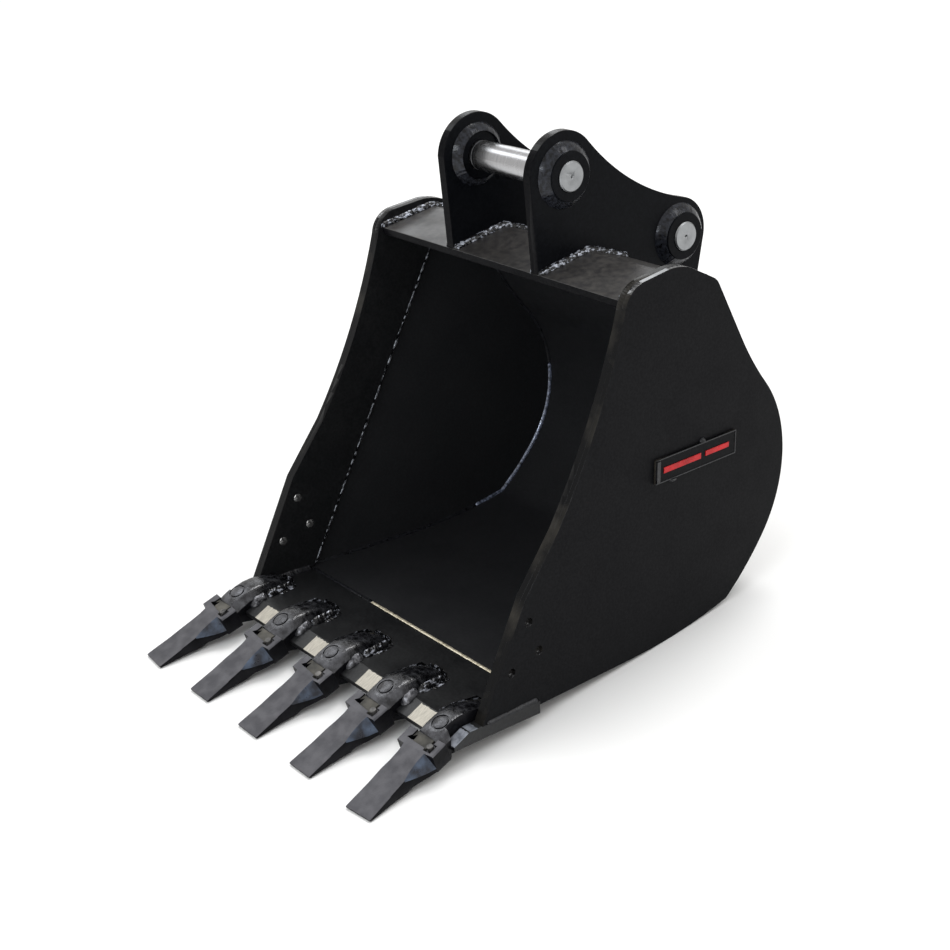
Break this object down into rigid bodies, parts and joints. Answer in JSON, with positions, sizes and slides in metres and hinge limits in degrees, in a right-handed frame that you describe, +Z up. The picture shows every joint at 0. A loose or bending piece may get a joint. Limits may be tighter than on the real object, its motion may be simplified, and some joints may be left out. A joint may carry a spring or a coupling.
{
  "type": "excavator bucket",
  "caption": "Open digging bucket for a mini excavator: tapered side plates, wrapped back, toothed lip, twin ears with cross pins.",
  "frame": {"origin": "on the ground, below the middle of the bucket's box as it stands on its tooth tips and heel", "axes": "+X across the bucket along both coupling pins, towards the side with the name plate; +Y from the teeth to the back; +Z up"},
  "size_m": [0.607, 0.8774, 0.7551],
  "materials": {
    "black_paint": "gloss",
    "cast_steel": "satin",
    "tooth_steel": "satin",
    "ground_steel": "polished",
    "spring_steel": "satin",
    "plate_metal": "satin"
  },
  "bodies": {
    "bucket": {"left_side_plate": "black_paint", "right_side_plate": "black_paint", "left_side_bar": "black_paint", "right_side_bar": "black_paint", "wrapper": "black_paint", "top_plate": "black_paint", "cutting_edge": "black_paint", "left_ear": "black_paint", "right_ear": "black_paint", "left_front_boss": "black_paint", "left_rear_boss": "black_paint", "right_front_boss": "black_paint", "right_rear_boss": "black_paint", "adapter_1": "cast_steel", "adapter_2": "cast_steel", "adapter_3": "cast_steel", "adapter_4": "cast_steel", "adapter_5": "cast_steel", "tooth_1": "tooth_steel", "tooth_2": "tooth_steel", "tooth_3": "tooth_steel", "tooth_4": "tooth_steel", "tooth_5": "tooth_steel", "name_plate": "plate_metal"},
    "front_pin": {"front_pin": "ground_steel"},
    "rear_pin": {"rear_pin": "ground_steel"},
    "lock_pin_1": {"lock_pin_1": "spring_steel"},
    "lock_pin_2": {"lock_pin_2": "spring_steel"},
    "lock_pin_3": {"lock_pin_3": "spring_steel"},
    "lock_pin_4": {"lock_pin_4": "spring_steel"},
    "lock_pin_5": {"lock_pin_5": "spring_steel"}
  },
  "joints": [
    {"name": "front_pin_slide", "type": "slide", "parent": "bucket", "child": "front_pin", "axis": [1, 0, 0], "range_m": [0, 0.26]},
    {"name": "rear_pin_slide", "type": "slide", "parent": "bucket", "child": "rear_pin", "axis": [1, 0, 0], "range_m": [0, 0.26]},
    {"name": "lock_pin_slide_1", "type": "slide", "parent": "bucket", "child": "lock_pin_1", "axis": [-0.034, -0.2412, 0.9699], "range_m": [0, 0.06]},
    {"name": "lock_pin_slide_2", "type": "slide", "parent": "bucket", "child": "lock_pin_2", "axis": [0, -0.2429, 0.9701], "range_m": [0, 0.06]},
    {"name": "lock_pin_slide_3", "type": "slide", "parent": "bucket", "child": "lock_pin_3", "axis": [0, -0.2429, 0.9701], "range_m": [0, 0.06]},
    {"name": "lock_pin_slide_4", "type": "slide", "parent": "bucket", "child": "lock_pin_4", "axis": [0, -0.2429, 0.9701], "range_m": [0, 0.06]},
    {"name": "lock_pin_slide_5", "type": "slide", "parent": "bucket", "child": "lock_pin_5", "axis": [0.034, -0.2412, 0.9699], "range_m": [0, 0.06]}
  ]
}
